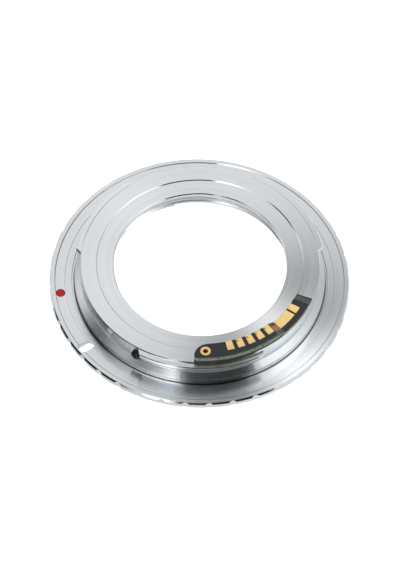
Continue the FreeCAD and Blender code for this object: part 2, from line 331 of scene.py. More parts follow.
def place_camera():
    elevation = math.radians(CAMERA_ELEVATION)
    roll = math.radians(CAMERA_ROLL)
    forward = Vector((0.0, math.cos(elevation), -math.sin(elevation)))
    right = Vector((1.0, 0.0, 0.0))
    up = right.cross(forward)
    right_rolled = right * math.cos(roll) + up * math.sin(roll)
    up_rolled = up * math.cos(roll) - right * math.sin(roll)
    target = right_rolled * CAMERA_RIGHT - up_rolled * CAMERA_DOWN
    position = target - forward * CAMERA_DISTANCE + Vector((0.0, 0.0, SEAT_HEIGHT))
    data = bpy.data.cameras.new("camera")
    data.lens = FOCAL_PIXELS * SENSOR_SIZE / PHOTO_PIXELS
    data.sensor_width = SENSOR_SIZE
    data.clip_start = 0.05
    data.clip_end = 20.0
    camera = bpy.data.objects.new("camera", data)
    rotation = Matrix((right_rolled, up_rolled, -forward)).transposed().to_4x4()
    camera.matrix_world = Matrix.Translation(position * MM) @ rotation
    bpy.context.scene.collection.objects.link(camera)
    bpy.context.scene.camera = camera


# Ring

def scallop_reach(angle):
    """Outer radius of the rim at an angle, with the scallops cut into it."""
    offset = (angle - SCALLOP_FIRST + SCALLOP_PITCH / 2.0) % SCALLOP_PITCH - SCALLOP_PITCH / 2.0
    turn = math.radians(offset)
    inside = SCALLOP_CUTTER_R ** 2 - (SCALLOP_CENTRE_R * math.sin(turn)) ** 2
    if inside <= 0.0:
        return RIM_R
    return min(RIM_R, SCALLOP_CENTRE_R * math.cos(turn) - math.sqrt(inside))


def slanted_reach(angle, start, end):
    """Reach of a tab at an angle, between its slanted ends."""
    reach = TAB_R
    for edge, way in ((start, 1.0), (end, -1.0)):
        foot = polar(NECK_R, edge)
        tip = polar(TAB_R, edge + way * TAB_SLANT)
        side = tip - foot
        ray = polar(1.0, angle)
        cross = ray.x * side.y - ray.y * side.x
        if abs(cross) > 1e-9:
            hit = (foot.x * side.y - foot.y * side.x) / cross
            inside = (angle - edge) * way
            if inside < TAB_SLANT:
                reach = min(reach, max(NECK_R, hit))
    return reach


def tab_reach(angle):
    for start, end in TAB_SPANS:
        if start < angle < end:
            return slanted_reach(angle, start, end)
    return NECK_R


def ring_columns():
    """Angles of the ring's sections, close together in the scallops and at the tabs' ends."""
    angles = set()
    cosine = (SCALLOP_CENTRE_R ** 2 + RIM_R ** 2 - SCALLOP_CUTTER_R ** 2) / (2.0 * SCALLOP_CENTRE_R * RIM_R)
    half = math.degrees(math.acos(cosine))
    gap = SCALLOP_PITCH - 2.0 * half
    for index in range(SCALLOP_COUNT):
        middle = SCALLOP_FIRST + index * SCALLOP_PITCH
        for share in (-1.0, -0.82, -0.6, -0.36, -0.12, 0.12, 0.36, 0.6, 0.82, 1.0):
            angles.add(round((middle + share * half) % 360.0, 5))
        for step in range(1, 6):
            angles.add(round((middle + half + gap * step / 6.0) % 360.0, 5))
    for start, end in TAB_SPANS:
        for share in (0.0, 0.25, 0.5, 0.75, 1.0):
            angles.add(round(start + share * TAB_SLANT, 5))
            angles.add(round(end - share * TAB_SLANT, 5))
    ordered = sorted(angles)
    kept = [ordered[0]]
    for angle in ordered[1:]:
        if angle - kept[-1] > 0.02:
            kept.append(angle)
    return kept


def ring_section(angle):
    """Section of the ring at an angle: the flange, the collar, the neck with its tab, and the bore."""
    rim = scallop_reach(angle)
    bevel_in = min(RIM_R - BASE_BEVEL, rim)
    wall_top = RIM_HEIGHT - RIM_BEVEL_HEIGHT * (1.0 - (RIM_R - rim) / RIM_BEVEL_WIDTH)
    tab = tab_reach(angle)
    out = tab > NECK_R + 0.001
    tab_out = tab if out else NECK_R
    tab_in = max(NECK_R, tab_out - TAB_BEVEL)
    bevel = min(TAB_BEVEL, tab_out - NECK_R) if out else 0.2
    corners = [
        (COUNTERBORE_R, 0.0, 0.05),
        (bevel_in, 0.0, 0.0),
        (rim, max(0.0, rim - (RIM_R - BASE_BEVEL)), 0.0),
        (rim, wall_top, 0.02),
        (RIM_R - RIM_BEVEL_WIDTH, RIM_HEIGHT, 0.02),
        (RIM_STEP[1], RIM_HEIGHT, 0.02),
        (RIM_STEP[0], SEAT_HEIGHT, 0.01),
        (SEAT_STEP[1], SEAT_HEIGHT, 0.02),
        (SEAT_STEP[0], LAND_HEIGHT, 0.01),
        (GROOVE_OUTER_R, LAND_HEIGHT, 0.07),
        (GROOVE_OUTER_R, GROOVE_FLOOR, 0.05),
        (COLLAR_R, GROOVE_FLOOR, 0.05),
        (COLLAR_R, COLLAR_HEIGHT - 0.01, 0.09),
        (NECK_R, CONE_HEIGHT, 0.08),
        (NECK_R, TAB_FLOOR, 0.0),
        (tab_in, TAB_FLOOR, 0.03),
        (tab_out, TAB_FLOOR + bevel, 0.03),
        (tab_out, TAB_TOP - bevel, 0.03),
        (tab_in, TAB_TOP, 0.03),
        (NECK_R, TAB_TOP, 0.0),
        (NECK_R, RING_HEIGHT - NECK_BEVEL, 0.03),
        (NECK_R - NECK_BEVEL, RING_HEIGHT, 0.03),
        (FACE_STEP[1], RING_HEIGHT, 0.02),
        (FACE_STEP[0], INNER_FACE_HEIGHT, 0.02),
        (LIP_R + LIP_BEVEL, INNER_FACE_HEIGHT, 0.02),
        (LIP_R, INNER_FACE_HEIGHT - LIP_BEVEL, 0.02),
        (LIP_R, LIP_FLOOR, 0.06),
        (RUNOUT_R, LIP_FLOOR, 0.0),
        (RUNOUT_R, RUNOUT_FLOOR, 0.0),
        (THREAD_R, THREAD_END, 0.0),
        (THREAD_R, COUNTERBORE_DEPTH + LEAD_IN, 0.05),
        (THREAD_R + LEAD_IN, COUNTERBORE_DEPTH, 0.04),
        (COUNTERBORE_R, COUNTERBORE_DEPTH, 0.0),
    ]
    return [polar(r, angle, z) for r, z in rounded(corners)]


def cylinder(bm, start, axis, radius, length, segments):
    """A capped cylinder with its first cap at start."""
    axis = axis.normalized()
    side = axis.orthogonal().normalized()
    other = axis.cross(side)
    loops = []
    for reach in (0.0, length):
        loop = []
        for step in range(segments):
            turn = 2.0 * math.pi * step / segments
            point = (start + axis * reach + side * (radius * math.cos(turn))
                     + other * (radius * math.sin(turn)))
            loop.append(bm.verts.new(point))
        loops.append(loop)
    bridge(bm, loops[0], loops[1])
    bm.faces.new(list(reversed(loops[0])))
    bm.faces.new(loops[1])


def round_cutter(name, start, axis, radius, length, segments):
    bm = bmesh.new()
    cylinder(bm, start, axis, radius, length, segments)
    return new_object(name, bm)


def box_cutter(name, size, matrix):
    bm = bmesh.new()
    bmesh.ops.create_cube(bm, size=1.0)
    bmesh.ops.scale(bm, vec=size, verts=bm.verts)
    bmesh.ops.transform(bm, matrix=matrix, verts=bm.verts)
    return new_object(name, bm)


def slot_cutter():
    """Stadium through the flange, a little wider at the top for a broken edge."""
    bm = bmesh.new()
    half = (SLOT_LENGTH - SLOT_WIDTH) / 2.0
    outward = polar(1.0, SLOT_ANGLE)
    side = polar(1.0, SLOT_ANGLE + 90.0)
    centre = polar(SLOT_R, SLOT_ANGLE)
    levels = ((-1.0, 0.0), (SEAT_HEIGHT - 0.09, 0.0), (SEAT_HEIGHT + 0.01, 0.07), (SEAT_HEIGHT + 1.0, 0.07))
    loops = []
    for z, grow in levels:
        radius = SLOT_WIDTH / 2.0 + grow
        loop = []
        for step in range(SLOT_SEGMENTS):
            turn = 2.0 * math.pi * (step + 0.5) / SLOT_SEGMENTS
            shift = half if math.cos(turn) > 0 else -half
            point = (centre + outward * (shift + radius * math.cos(turn))
                     + side * (radius * math.sin(turn)))
            loop.append(bm.verts.new(point + Vector((0.0, 0.0, z))))
        loops.append(loop)
    for here, there in zip(loops, loops[1:]):
        bridge(bm, here, there)
    bm.faces.new(list(reversed(loops[0])))
    bm.faces.new(loops[-1])
    return new_object("slot_cutter", bm)


def cut(obj, cutters):
    """Cut solids out of a piece and keep the result as its mesh."""
    for cutter in cutters:
        modifier = obj.modifiers.new("cut", "BOOLEAN")
        modifier.operation = "DIFFERENCE"
        modifier.solver = "EXACT"
        modifier.object = cutter
    graph = bpy.context.evaluated_depsgraph_get()
    mesh = bpy.data.meshes.new_from_object(obj.evaluated_get(graph))
    obj.modifiers.clear()
    old = obj.data
    obj.data = mesh
    mesh.name = obj.name
    bpy.data.meshes.remove(old)
    for cutter in cutters:
        data = cutter.data
        bpy.data.objects.remove(cutter)
        bpy.data.meshes.remove(data)


def adapter_ring():
    """The turned ring, with the slot, the screw's hole and the dot's pocket cut into it."""
    bm = swept([ring_section(angle) for angle in ring_columns()], True)
    obj = add_piece("ring", bm, "adapter_ring")
    away = polar(1.0, SCREW_ANGLE)
    head = polar(SCREW_SEAT_R, SCREW_ANGLE, SCREW_HEIGHT)
    shank = polar(SCREW_TIP_R - 0.3, SCREW_ANGLE, SCREW_HEIGHT)
    pocket = polar(DOT_R, DOT_ANGLE, SEAT_HEIGHT - DOT_DEPTH)
    cut(obj, [
        slot_cutter(),
        round_cutter("screw_cutter", head, away, SCREW_HEAD_D / 2.0 + 0.05, 3.0, 40),
        round_cutter("shank_cutter", shank, away, SCREW_SHANK_D / 2.0, 5.0, 24),
        round_cutter("dot_cutter", pocket, UP, DOT_D / 2.0, 2.0, 64),
    ])
    shade(obj)
    return obj


def thread_ridge():
    """The lens thread's ridge, a helix cut back by the lead-in below and run out above."""
    first, last = THREAD_SPAN
    root = THREAD_R - 0.01
    steps = int((last - first) * 150)
    sections = []
    for step in range(steps + 1):
        middle = first + (last - first) * step / steps
        angle = 90.0 + 360.0 * (middle - 3.15)
        lead_in = THREAD_R + COUNTERBORE_DEPTH + LEAD_IN - middle - 0.1
        crest = max(THREAD_R - THREAD_DEPTH, min(root, lead_in))
        crest += (root - crest) * max(0.0, 1.0 - (last - middle) / 0.15)
        share = (THREAD_R - crest) / THREAD_DEPTH
        foot = 0.08 + 0.32 * share
        tip = 0.02 + 0.08 * share
        outline = (
            (THREAD_R + 0.06, middle - foot),
            (crest, middle - tip),
            (crest, middle + tip),
            (THREAD_R + 0.06, middle + foot),
        )
        sections.append([polar(r, angle, z) for r, z in outline])
    obj = add_piece("lens_thread", swept(sections, False), None)
    shade(obj, weighted=False)
    return obj


def spun(bm, centre, axis, outline, segments):
    """Turn an open (r, h) outline, which starts and ends on the axis, round a line through a centre."""
    axis = axis.normalized()
    side = axis.orthogonal().normalized()
    other = axis.cross(side)
    loops = []
    for radius, height in outline:
        middle = centre + axis * height
        if radius < 1e-6:
            loops.append([bm.verts.new(middle)])
            continue
        loop = []
        for step in range(segments):
            turn = 2.0 * math.pi * step / segments
            way = side * math.cos(turn) + other * math.sin(turn)
            loop.append(bm.verts.new(middle + way * radius))
        loops.append(loop)
    for here, there in zip(loops, loops[1:]):
        for step in range(segments):
            after = (step + 1) % segments
            corners = [here[step % len(here)], here[after % len(here)],
                       there[after % len(there)], there[step % len(there)]]
            unique = []
            for corner in corners:
                if corner not in unique:
                    unique.append(corner)
            if len(unique) > 2:
                bm.faces.new(unique)


def index_dot():
    """Enamel that sits a hair below the seat, with a rounded shoulder and a slightly domed middle."""
    bm = bmesh.new()
    radius = DOT_D / 2.0
    top = DOT_DEPTH - 0.03
    outline = [(0.0, 0.0), (radius, 0.0), (radius, top - 0.08), (radius - 0.02, top - 0.04),
               (radius - 0.06, top - 0.012), (radius - 0.14, top), (radius * 0.6, top + 0.012),
               (radius * 0.3, top + 0.018), (0.0, top + 0.02)]
    spun(bm, polar(DOT_R, DOT_ANGLE, SEAT_HEIGHT - DOT_DEPTH), UP, outline, 64)
    obj = add_piece("dot", bm, "index_dot")
    shade(obj)
    return obj


def stop_screw():
    """Small cheese-head screw with a slot, its edges rounded by the driver and the finish."""
    away = polar(1.0, SCREW_ANGLE)
    head = SCREW_HEAD_D / 2.0
    rise = SCREW_TOP_R - SCREW_SEAT_R
    shank = SCREW_SEAT_R - SCREW_TIP_R
    outline = [(0.0, -shank), (SCREW_SHANK_D / 2.0 - 0.1, -shank), (SCREW_SHANK_D / 2.0, -shank + 0.1),
               (SCREW_SHANK_D / 2.0, 0.0), (head - 0.03, 0.0), (head, 0.04), (head, rise - 0.22),
               (head - 0.03, rise - 0.13), (head - 0.09, rise - 0.05), (head - 0.2, rise - 0.01),
               (head * 0.5, rise), (0.0, rise)]
    bm = bmesh.new()
    spun(bm, polar(SCREW_SEAT_R, SCREW_ANGLE, SCREW_HEIGHT), away, outline, 48)
    obj = add_piece("screw", bm, "stop_screw")
    turn = Matrix.Rotation(math.radians(SCREW_SLOT_TURN), 4, "X")
    spin = Matrix.Rotation(math.radians(SCREW_ANGLE), 4, "Z")
    place = Matrix.Translation(polar(SCREW_TOP_R, SCREW_ANGLE, SCREW_HEIGHT))
    size = (2.0 * SCREW_SLOT_DEPTH, SCREW_SLOT_WIDTH, 4.0)
    cut(obj, [box_cutter("driver_cutter", size, place @ spin @ turn)])
    shade(obj)
    return obj


# Contact board

def corner_reach(angle, start, radius, side_r, way, inset=0.0):
    """Reach of a rounded corner at an angle; way is 1 on the board's inner side and -1 on its outer."""
    centre = side_r + way * radius
    offset = math.radians(angle - start) - math.asin(radius / centre)
    if offset >= 0.0:
        return side_r + way * inset
    inside = max(0.0, (radius - inset) ** 2 - (centre * math.sin(offset)) ** 2)
    return centre * math.cos(offset) - way * math.sqrt(inside)


def board_limits(angle, inset=0.0):
    """Inner and outer reach of the board's plan at an angle, rounded at both ends."""
    outer_r = BOARD_OUTER_R - inset
    if angle >= BOARD_MIDDLE:
        mirrored = 2.0 * BOARD_END - angle
        return (corner_reach(mirrored, BOARD_END, TAIL_RADIUS, BOARD_INNER_R, 1.0),
                corner_reach(mirrored, BOARD_END, TAIL_RADIUS, outer_r, -1.0))
    start = BOARD_START + math.degrees(inset / BOARD_MEAN_R)
    return (corner_reach(angle, BOARD_START, NOSE_RADIUS, BOARD_INNER_R, 1.0, inset),
            corner_reach(angle, start, SHOULDER_RADIUS - inset, outer_r, -1.0))


def board_angles(start, end):
    """Columns along the board, close together at a rounded end."""
    angles = []
    for step in range(14):
        angles.append(start + (NOSE_END - start) * (1.0 - math.cos(math.pi / 2.0 * step / 14)))
    stop = min(end, TAIL_START)
    count = max(2, int((stop - NOSE_END) / 0.6))
    for step in range(count + 1):
        angles.append(NOSE_END + (stop - NOSE_END) * step / count)
    if end > TAIL_START:
        for step in range(1, 9):
            angles.append(TAIL_START + (end - TAIL_START) * math.sin(math.pi / 2.0 * step / 8))
    return angles


def ramp_height(r, angle, top_angle, foot_angle, top, foot):
    """Height of a flat ramp that falls along the board."""
    middle = (top_angle + foot_angle) / 2.0
    half_run = PAD_OUTER_R * math.radians(foot_angle - top_angle) / 2.0
    shift = r * math.sin(math.radians(angle - middle))
    return min(top, top - (top - foot) * (shift + half_run) / (2.0 * half_run))


def step_height(r, angle):
    return ramp_height(r, angle, STEP_TOP_ANGLE, STEP_FOOT_ANGLE, UPPER_TOP, UPPER_FLOOR + 0.04)


def tail_height(r, angle):
    return ramp_height(r, angle, TAIL_TOP_ANGLE, BOARD_END, BASE_TOP, BOARD_FLOOR + 0.12)


def wander(value, seed):
    """Slow random waver between -1 and 1 along a length."""
    return noise.noise(Vector((value, seed, 0.37)))


def barrel_cutter(floor_height, length):
    """Cutter for the eyelet's barrel, from a height up."""
    foot = polar(EYELET_R, EYELET_ANGLE, floor_height)
    return round_cutter("barrel_cutter", foot, UP, EYELET_HOLE_D / 2.0 + EYELET_WALL, length, 40)


def base_board():
    """Lower layer, with windows for the parts on it and a sanded ramp at its tail."""
    sections = []
    for angle in board_angles(BOARD_START, BOARD_END):
        inner, outer = board_limits(angle)
        inner_top = tail_height(inner, angle)
        corners = (
            (inner, BOARD_FLOOR),
            (outer, BOARD_FLOOR),
            (outer, tail_height(outer, angle) - EDGE_BREAK),
            (outer - EDGE_BREAK, tail_height(outer - EDGE_BREAK, angle)),
            (inner + EDGE_BREAK, inner_top),
            (inner, inner_top - EDGE_BREAK),
        )
        sections.append([polar(r, angle, z) for r, z in corners])
    obj = add_piece("base_layer", swept(sections, False), "base_board")
    cutters = []
    for name, angle, radius, radial, tangential in WINDOWS:
        size = (radial + WINDOW_GAP, tangential + WINDOW_GAP, 3.0)
        spin = Matrix.Rotation(math.radians(angle), 4, "Z")
        place = Matrix.Translation(polar(radius, angle, BOARD_FLOOR))
        cutters.append(box_cutter(name + "_window", size, place @ spin))
    cutters.append(barrel_cutter(BOARD_FLOOR - 1.0, 3.0))
    cut(obj, cutters)
    shade(obj)
    return obj


def bond_line():
    """Cured resin between the two layers, a hair inside their edges."""
    sections = []
    for angle in board_angles(BOARD_START, STEP_FOOT_ANGLE):
        inner, outer = board_limits(angle)
        inner += 0.02
        outer -= 0.02
        corners = ((inner, BASE_TOP), (outer, BASE_TOP), (outer, UPPER_FLOOR), (inner, UPPER_FLOOR))
        sections.append([polar(r, angle, z) for r, z in corners])
    obj = add_piece("bond_line", swept(sections, False), "bond_film")
    cut(obj, [barrel_cutter(BASE_TOP - 1.0, 2.0)])
    shade(obj)
    return obj


def upper_board():
    """Upper layer, its outer edge and nose sanded by hand to an uneven bevel."""
    top_start = BOARD_START + math.degrees(SANDED_WIDTH / 25.0)
    rings = []
    for angle in board_angles(BOARD_START, STEP_FOOT_ANGLE):
        inner, outer = board_limits(angle)
        past_nose = angle >= NOSE_END
        top_angle = angle
        if not past_nose:
            share = (angle - BOARD_START) / (NOSE_END - BOARD_START)
            top_angle = top_start + (NOSE_END - top_start) * share
        top_inner, top_outer = board_limits(top_angle, SANDED_WIDTH)
        if past_nose:
            width = SANDED_WIDTH * (0.6 + 0.3 * wander(angle * 0.9, 1.7) + 0.15 * wander(angle * 3.1, 4.2))
            width += SANDED_WIDENING * min(1.0, max(0.0, (angle - 284.0) / 24.0))
            top_inner = inner + 0.015
            top_outer = min(top_outer, BOARD_OUTER_R - width)
        depth = SANDED_DEPTH * (1.0 + 0.2 * wander(angle * 1.3, 8.1))
        fall = UPPER_TOP - step_height(outer, angle)
        rim_drop = max(0.0, min(1.0, 1.0 - fall / depth))
        rim_r = top_outer + (outer - top_outer) * (1.0 - rim_drop)
        outer_top = max(UPPER_FLOOR + 0.01, min(UPPER_TOP - depth, UPPER_TOP - fall - 0.02))
        inner_cut = 0.02 if past_nose else SANDED_DEPTH
        inner_top = max(UPPER_FLOOR + 0.01, step_height(inner, angle) - inner_cut)
        rings.append([
            polar(inner, angle, UPPER_FLOOR),
            polar(outer, angle, UPPER_FLOOR),
            polar(outer, angle, outer_top),
            polar(rim_r, top_angle, step_height(top_outer, top_angle)),
            polar(top_inner, top_angle, step_height(top_inner, top_angle)),
            polar(inner, angle, inner_top),
        ])
    bm = bmesh.new()
    rings = [[bm.verts.new(point) for point in points] for points in rings]
    for here, there in zip(rings, rings[1:]):
        bridge(bm, here, there)
    first = rings[0]
    bm.faces.new((first[0], first[1], first[2], first[5]))
    bm.faces.new((first[5], first[2], first[3], first[4]))
    bm.faces.new(rings[-1])
    obj = add_piece("upper_layer", bm, "upper_board")
    cut(obj, [barrel_cutter(UPPER_FLOOR - 1.0, 3.0)])
    shade(obj)
    return obj


def pad(name, node, span, radii, height):
    """Plated contact with softened edges; height gives the surface that it lies on."""
    start, end = span
    inner_r, outer_r = radii
    soft = 0.015
    count = max(3, int((end - start) / 0.5))
    step_angle = math.degrees(soft / 24.0)
    angles = [start, start + step_angle]
    angles += [start + (end - start) * step / count for step in range(1, count)]
    angles += [end - step_angle, end]
    sections = []
    for index, angle in enumerate(angles):
        shift = soft if index in (0, len(angles) - 1) else 0.0
        rise = PAD_THICKNESS - shift
        corners = (
            (inner_r + shift, 0.0),
            (outer_r - shift, 0.0),
            (outer_r - shift, PAD_THICKNESS - soft),
            (outer_r - soft - shift, rise),
            (inner_r + soft + shift, rise),
            (inner_r + shift, PAD_THICKNESS - soft),
        )
        sections.append([polar(r, angle, height(r, angle) + z) for r, z in corners])
    obj = add_piece(name, swept(sections, False), node)
    shade(obj, weighted=False)
    return obj


def on_upper_layer(r, angle):
    return UPPER_TOP


def on_lower_layer(r, angle):
    return BASE_TOP


def pads():
    """The five data contacts on the upper layer and the two power contacts on the lower one."""
    radii = (BOARD_INNER_R, PAD_OUTER_R)
    made = []
    for index in range(5):
        middle = DATA_PAD_FIRST + index * DATA_PAD_PITCH
        span = (middle - DATA_PAD_HALF, middle + DATA_PAD_HALF)
        name = "data_contact_%d" % (index + 1)
        node = "data_pad_%d" % (index + 1)
        made.append(pad(name, node, span, radii, on_upper_layer))
    for name, node, span in (("long_contact", "long_power_pad", LONG_PAD),
                             ("short_contact", "short_power_pad", SHORT_PAD)):
        made.append(pad(name, node, span, radii, on_lower_layer))
    return made


def copper_strip():
    span = (STEP_TOP_ANGLE + 0.12, STEP_FOOT_ANGLE - 0.1)
    return pad("ramp_copper", "step_copper", span, COPPER_RADII, step_height)


def eyelet():
    """Plated hole right through the board, with a ring-shaped pad round its top."""
    bm = bmesh.new()
    hole = EYELET_HOLE_D / 2.0
    barrel = hole + EYELET_WALL
    rim = EYELET_PAD_D / 2.0
    top = UPPER_TOP - BOARD_FLOOR
    outline = [(hole, 0.0), (barrel, 0.0), (barrel, top), (rim, top), (rim, top + 0.03),
               (rim - 0.02, top + PAD_THICKNESS), (hole + 0.09, top + PAD_THICKNESS),
               (hole + 0.03, top + 0.02), (hole, top - 0.05)]
    spun(bm, polar(EYELET_R, EYELET_ANGLE, BOARD_FLOOR), UP, outline + outline[:1], 64)
    bmesh.ops.remove_doubles(bm, verts=bm.verts, dist=MERGE_DISTANCE)
    obj = add_piece("eyelet", bm, "board_eyelet")
    shade(obj)
    return obj


def pad_vias():
    """Four filled holes beside the inner corners of the later data contacts."""
    bm = bmesh.new()
    for angle in VIA_ANGLES:
        cylinder(bm, polar(VIA_R, angle, UPPER_TOP), UP, VIA_RADIUS, PAD_THICKNESS + 0.006, 20)
    obj = add_piece("filled_vias", bm, None)
    shade(obj)
    return obj


# Light tent and floor

FLOOR_GAP = 0.02
FLOOR_SIZE = 3000.0
FLOOR_GLOW_SEEN = 0.8
FLOOR_GLOW_MIRRORED = 0.35
TENT_R = 200.0
TENT_LEVEL = 0.707
TENT_DARKEST = 0.02
TENT_OPENING_LEFT = (-104.0, 6.0)
TENT_OPENING_RIGHT = (-44.0, 2.5)
TENT_OPENING_TOP = (89.5, 7.3)
TENT_OPENING_DEPTH = 0.96

# Lamps and folds seen on the cloth: azimuth, elevation, spread and strength over the plain level.
# Each edge of the opening above is an angle and the softness on both sides of it.
TENT_SPOTS = (
    (244.5, 61.6, 0.019, 5.24),
    (60.5, 64.1, 0.004, 4.02),
    (12.5, 65.3, 0.018, 3.06),
    (249.6, 5.8, 0.027, 2.90),
    (178.7, 30.4, 0.129, 1.93),
    (259.8, 10.1, 0.104, 1.60),
    (89.4, 53.1, 0.059, 1.56),
    (348.2, 48.1, 0.074, 0.82),
    (332.8, 50.7, 0.144, 0.40),
    (336.7, 14.1, 0.107, 0.37),
    (90.0, 66.0, 0.012, 0.22),
    (345.9, 30.1, 0.185, -0.24),
    (125.2, 80.8, 0.137, -0.32),
    (90.0, 45.0, 0.012, -0.28),
    (119.1, 36.5, 0.297, -0.73),
    (53.2, 85.3, 0.019, -1.21),
    (323.6, 78.2, 0.027, -1.92),
    (75.8, 59.8, 0.010, -1.93),
    (237.3, 30.7, 0.024, -2.12),
    (208.0, 13.0, 0.035, -1.30),
    (194.3, 0.4, 0.094, -2.88),
    (177.2, 40.2, 0.031, -3.04),
)


def feed(tree, node, inputs):
    """Link or set a node's inputs, given by name or number as a socket or a value."""
    for key, value in inputs.items():
        if isinstance(value, bpy.types.NodeSocket):
            tree.links.new(value, node.inputs[key])
        else:
            node.inputs[key].default_value = value


def maths(tree, operation, *values):
    node = tree.nodes.new("ShaderNodeMath")
    node.operation = operation
    feed(tree, node, dict(enumerate(values)))
    return node.outputs[0]


def vector_maths(tree, operation, inputs, output):
    node = tree.nodes.new("ShaderNodeVectorMath")
    node.operation = operation
    feed(tree, node, inputs)
    return node.outputs[output]


def fade(tree, value, start, end, low=0.0, high=1.0):
    """Smooth step of a value from low to high between start and end."""
    node = tree.nodes.new("ShaderNodeMapRange")
    node.interpolation_type = "SMOOTHSTEP"
    feed(tree, node, {"Value": value, "From Min": start, "From Max": end, "To Min": low, "To Max": high})
    return node.outputs["Result"]


def between(tree, value, low_edge, high_edge):
    """Soft-edged share of a value in degrees that lies between two (edge, softness) pairs."""
    shares = []
    for (edge, soft), low, high in ((low_edge, 0.0, 1.0), (high_edge, 1.0, 0.0)):
        start = math.radians(edge - soft)
        end = math.radians(edge + soft)
        shares.append(fade(tree, value, start, end, low, high))
    return maths(tree, "MULTIPLY", shares[0], shares[1])


def lit_cloth():
    """Glow of the tent's cloth by direction: a plain level, spots and folds, and a dark opening."""
    material = bpy.data.materials.new("lit_cloth")
    material.use_nodes = True
    tree = material.node_tree
    tree.nodes.clear()
    place = tree.nodes.new("ShaderNodeNewGeometry").outputs["Position"]
    direction = vector_maths(tree, "NORMALIZE", {0: place}, "Vector")
    level = TENT_LEVEL
    for azimuth, elevation, spread, strength in TENT_SPOTS:
        way = polar(math.cos(math.radians(elevation)), azimuth, math.sin(math.radians(elevation)))
        dot = vector_maths(tree, "DOT_PRODUCT", {0: direction, 1: way}, "Value")
        falloff = maths(tree, "DIVIDE", maths(tree, "SUBTRACT", dot, 1.0), spread)
        spot = maths(tree, "MULTIPLY", maths(tree, "EXPONENT", falloff), strength)
        level = maths(tree, "ADD", spot, level)
    level = maths(tree, "MAXIMUM", level, TENT_DARKEST)
    parts = split(tree, direction)
    turn = maths(tree, "ARCTAN2", parts["Y"], parts["X"])
    side = between(tree, turn, TENT_OPENING_LEFT, TENT_OPENING_RIGHT)
    rise = maths(tree, "ARCSINE", parts["Z"])
    top, soft = TENT_OPENING_TOP
    cover = fade(tree, rise, math.radians(top - soft), math.radians(top + soft), 1.0, 0.0)
    gap = maths(tree, "MULTIPLY", maths(tree, "MULTIPLY", side, cover), -TENT_OPENING_DEPTH)
    level = maths(tree, "MULTIPLY", level, maths(tree, "ADD", gap, 1.0))
    emission = tree.nodes.new("ShaderNodeEmission")
    tree.links.new(level, emission.inputs["Strength"])
    output = tree.nodes.new("ShaderNodeOutputMaterial")
    tree.links.new(emission.outputs[0], output.inputs["Surface"])
    return material


def light_tent():
    """White cloth dome over the part, which the camera looks through."""
    bm = bmesh.new()
    grid = []
    for column in range(73):
        azimuth = column * 5.0
        heights = [math.radians(row * 5.0) for row in range(19)]
        points = [polar(TENT_R * math.cos(rise), azimuth, TENT_R * math.sin(rise)) for rise in heights]
        grid.append([bm.verts.new(point) for point in points])
    for here, there in zip(grid, grid[1:]):
        for row in range(18):
            bm.faces.new((here[row], there[row], there[row + 1], here[row + 1]))
    bmesh.ops.remove_doubles(bm, verts=bm.verts, dist=0.01)
    obj = new_object("light_tent", bm)
    obj.visible_camera = False
    obj.data.materials.append(lit_cloth())


# Materials; positions in them are millimetres

def new_material(name, metallic=0.0, roughness=0.5, specular=0.5):
    material = bpy.data.materials.new(name)
    material.use_nodes = True
    tree = material.node_tree
    shader = tree.nodes["Principled BSDF"]
    feed(tree, shader, {"Metallic": metallic, "Roughness": roughness, "Specular IOR Level": specular})
    return material, tree


def finished(material, colour, relief=None, relief_mm=0.0, roughness=None):
    """The material with its colour and, where they are given, its relief and roughness linked."""
    tree = material.node_tree
    shader = tree.nodes["Principled BSDF"]
    tree.links.new(colour, shader.inputs["Base Color"])
    if roughness is not None:
        tree.links.new(roughness, shader.inputs["Roughness"])
    if relief is not None:
        bump = tree.nodes.new("ShaderNodeBump")
        feed(tree, bump, {"Height": relief, "Distance": relief_mm * MM})
        tree.links.new(bump.outputs["Normal"], shader.inputs["Normal"])
    return material


def place_mm(tree):
    """Position on the piece in millimetres."""
    place = tree.nodes.new("ShaderNodeTexCoord").outputs["Object"]
    return vector_maths(tree, "SCALE", {0: place, "Scale": 1.0 / MM}, "Vector")


def split(tree, vector):
    """Sockets X, Y and Z of a vector."""
    parts = tree.nodes.new("ShaderNodeSeparateXYZ")
    tree.links.new(vector, parts.inputs[0])
    return parts.outputs


def axis_distance(tree, vector, middle=None):
    """Distance from the ring's axis, or from a line beside it through the point middle."""
    parts = split(tree, vector)
    x = parts["X"]
    y = parts["Y"]
    if middle is not None:
        x = maths(tree, "SUBTRACT", x, middle.x)
        y = maths(tree, "SUBTRACT", y, middle.y)
    squares = maths(tree, "ADD", maths(tree, "MULTIPLY", x, x), maths(tree, "MULTIPLY", y, y))
    return maths(tree, "SQRT", squares)


def grain(tree, vector, per_mm, detail=2.0, roughness=0.5):
    """Noise between 0 and 1, with about per_mm lumps a millimetre."""
    node = tree.nodes.new("ShaderNodeTexNoise")
    feed(tree, node, {"Vector": vector, "Scale": per_mm, "Detail": detail, "Roughness": roughness})
    return node.outputs[0]


def mixed(tree, share, first, second):
    """Mix of two colours by a share; each is a socket or a colour."""
    node = tree.nodes.new("ShaderNodeMix")
    node.data_type = "RGBA"
    colours = [colour + (1.0,) if isinstance(colour, tuple) else colour for colour in (first, second)]
    feed(tree, node, {0: share, 6: colours[0], 7: colours[1]})
    return node.outputs[2]


PLATING_DARK = (0.670, 0.692, 0.710)
PLATING_LIGHT = (0.690, 0.714, 0.733)
PLATING_BLOOM = (0.60, 0.63, 0.66)
# Near-black painted shade for the foot of the groove, and the share of it that is laid on
GROOVE_SHADE = (0.02, 0.021, 0.022)
GROOVE_SHADE_SHARE = 0.85
BRIGHT_CUT = 0.11
ANISOTROPY = 0.90


